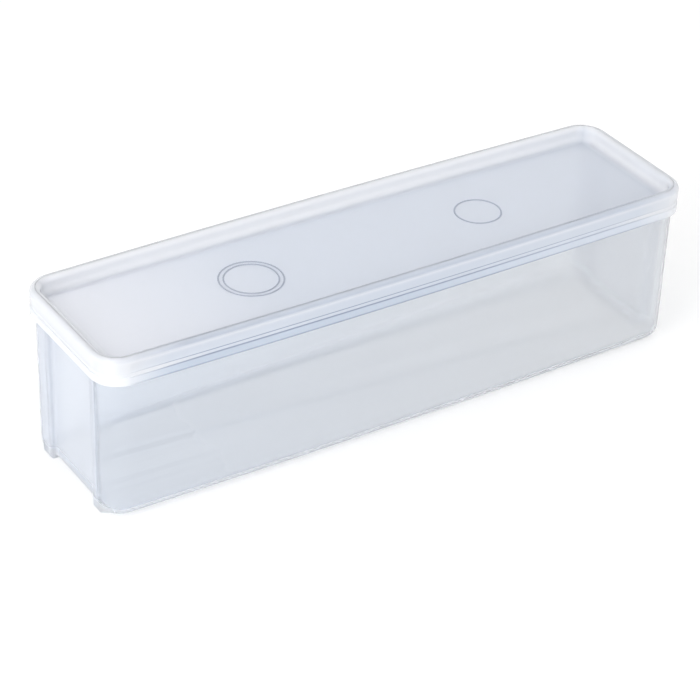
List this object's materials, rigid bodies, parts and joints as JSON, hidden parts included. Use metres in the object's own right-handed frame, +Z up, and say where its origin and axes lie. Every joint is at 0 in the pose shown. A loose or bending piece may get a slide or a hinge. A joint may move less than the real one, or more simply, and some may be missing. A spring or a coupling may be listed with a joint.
{
  "type": "vegetable storage container",
  "caption": "Long covered food keeper: a clear thin-walled tub with rounded corners, hollowed ends and small feet, closed by a frosted lid that lifts off.",
  "frame": {"origin": "middle of the base, on the surface the container stands on", "axes": "+X along the length, +Y across the width, +Z up"},
  "size_m": [0.33, 0.0876, 0.09],
  "materials": {
    "clear_tub": "clear polypropylene with a faint blue cast, slightly hazy towards one end",
    "frosted_lid": "milky translucent polypropylene, satin"
  },
  "bodies": {
    "tub": {"tub": "clear_tub"},
    "lid": {"lid": "frosted_lid"}
  },
  "joints": [
    {"name": "lid_lift", "type": "slide", "parent": "tub", "child": "lid", "axis": [0, 0, 1], "range_m": [0, 0.12]}
  ]
}
